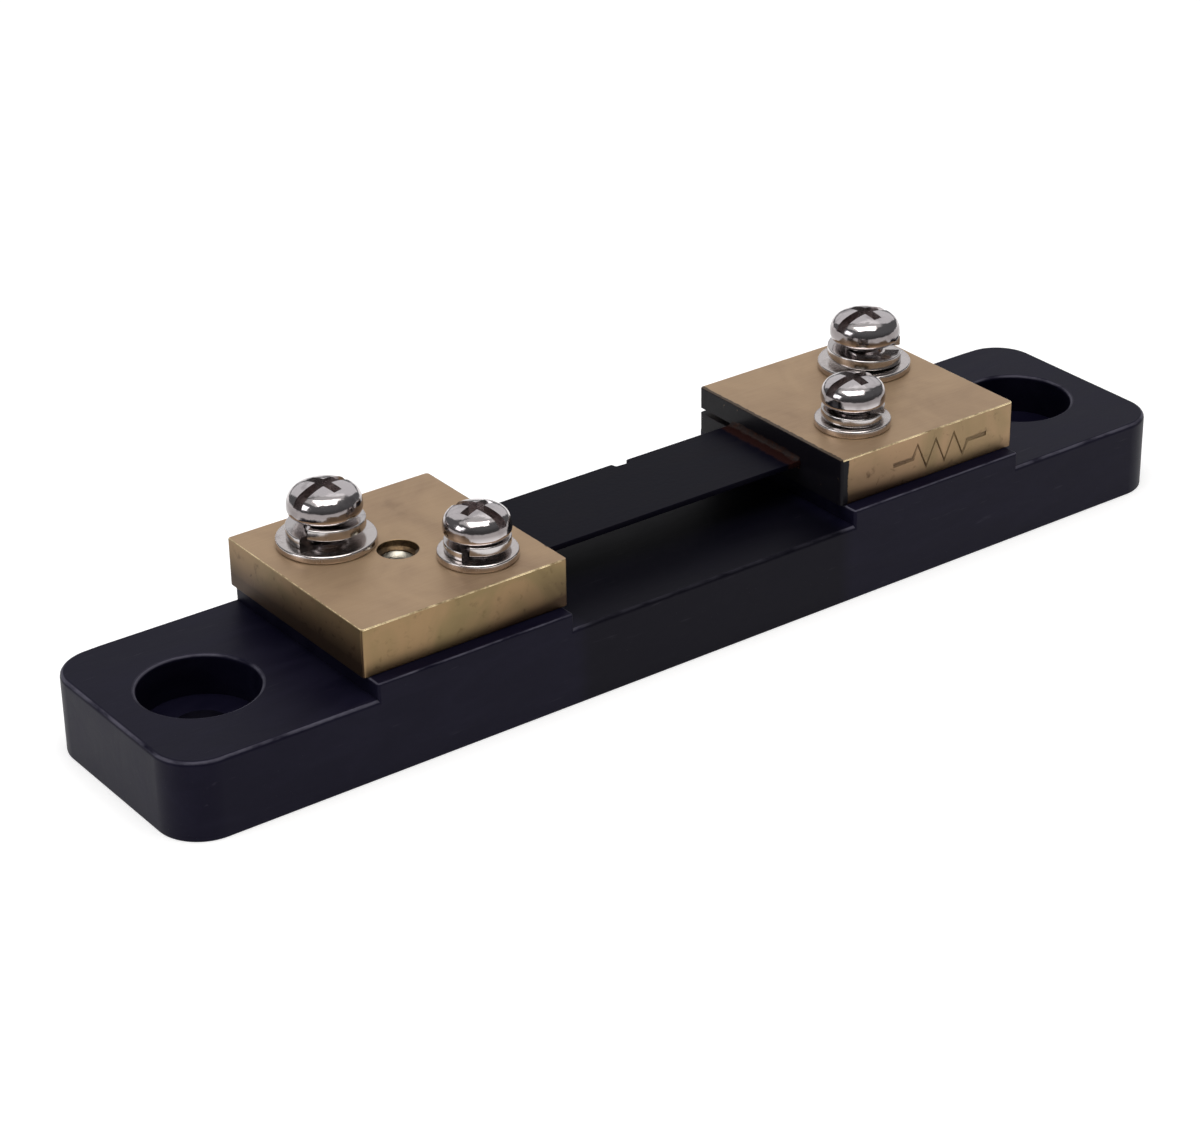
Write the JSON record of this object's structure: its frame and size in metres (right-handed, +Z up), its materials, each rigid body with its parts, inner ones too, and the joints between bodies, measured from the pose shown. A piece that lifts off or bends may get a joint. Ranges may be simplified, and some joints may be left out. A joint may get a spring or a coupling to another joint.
{
  "type": "current shunt",
  "caption": "Current shunt: black moulded base with stepped mounting holes, brass terminal blocks joined by a lacquered resistance strip, and line and sense screws with washers.",
  "frame": {"origin": "centre of the base's underside", "axes": "+X along the base between its mounting holes, +Y from the side of the sense screws to the side of the line screws, +Z up through the terminal screws"},
  "size_m": [0.12, 0.025, 0.021],
  "materials": {
    "black_moulding": "satin black moulded plastic with a faint violet cast",
    "brass_bar": "dull brushed brass with faint stains and bright cut edges",
    "lacquered_manganin": "satin black lacquer over a copper-nickel-manganese strip, scorched brown at its brazed ends",
    "braze_alloy": "heat-tinted braze, dull red-brown",
    "nickel_steel": "bright nickel plate",
    "spring_steel": "bright nickel plate over spring steel",
    "zinc_steel": "clear zinc plate"
  },
  "bodies": {
    "root": {"base": "black_moulding", "resistor_strip": "lacquered_manganin", "terminal_block_left": "brass_bar", "braze_left": "braze_alloy", "fixing_screw_left": "zinc_steel", "fixing_washer_left": "zinc_steel", "terminal_block_right": "brass_bar", "braze_right": "braze_alloy", "fixing_screw_right": "zinc_steel", "fixing_washer_right": "zinc_steel"},
    "line_washers_left": {"line_flat_washer_left": "nickel_steel", "line_lock_washer_left": "spring_steel"},
    "line_screw_left": {"line_screw_left": "nickel_steel"},
    "sense_washers_left": {"sense_flat_washer_left": "nickel_steel", "sense_lock_washer_left": "spring_steel"},
    "sense_screw_left": {"sense_screw_left": "nickel_steel"},
    "line_washers_right": {"line_flat_washer_right": "nickel_steel", "line_lock_washer_right": "spring_steel"},
    "line_screw_right": {"line_screw_right": "nickel_steel"},
    "sense_washers_right": {"sense_flat_washer_right": "nickel_steel", "sense_lock_washer_right": "spring_steel"},
    "sense_screw_right": {"sense_screw_right": "nickel_steel"}
  },
  "joints": [
    {"name": "line_left_lift", "type": "slide", "parent": "root", "child": "line_washers_left", "axis": [0, 0, 1], "range_m": [0, 0.0049]},
    {"name": "line_left_turn", "type": "hinge", "parent": "line_washers_left", "child": "line_screw_left", "pos_m": [-0.03265, 0.0059, 0.0179], "axis": [0, 0, 1], "range_deg": [0, 2520]},
    {"name": "sense_left_lift", "type": "slide", "parent": "root", "child": "sense_washers_left", "axis": [0, 0, 1], "range_m": [0, 0.0036]},
    {"name": "sense_left_turn", "type": "hinge", "parent": "sense_washers_left", "child": "sense_screw_left", "pos_m": [-0.02295, -0.0052, 0.0172], "axis": [0, 0, 1], "range_deg": [0, 2160]},
    {"name": "line_right_lift", "type": "slide", "parent": "root", "child": "line_washers_right", "axis": [0, 0, 1], "range_m": [0, 0.0049]},
    {"name": "line_right_turn", "type": "hinge", "parent": "line_washers_right", "child": "line_screw_right", "pos_m": [0.03355, 0.00535, 0.0179], "axis": [0, 0, 1], "range_deg": [0, 2520]},
    {"name": "sense_right_lift", "type": "slide", "parent": "root", "child": "sense_washers_right", "axis": [0, 0, 1], "range_m": [0, 0.0036]},
    {"name": "sense_right_turn", "type": "hinge", "parent": "sense_washers_right", "child": "sense_screw_right", "pos_m": [0.0234, -0.0047, 0.0172], "axis": [0, 0, 1], "range_deg": [0, 2160]}
  ],
  "couplings": [
    {"joint": "line_left_lift", "follows": "line_left_turn", "m_per_rad": 0.00011141},
    {"joint": "sense_left_lift", "follows": "sense_left_turn", "m_per_rad": 0.000095492},
    {"joint": "line_right_lift", "follows": "line_right_turn", "m_per_rad": 0.00011141},
    {"joint": "sense_right_lift", "follows": "sense_right_turn", "m_per_rad": 0.000095492}
  ]
}
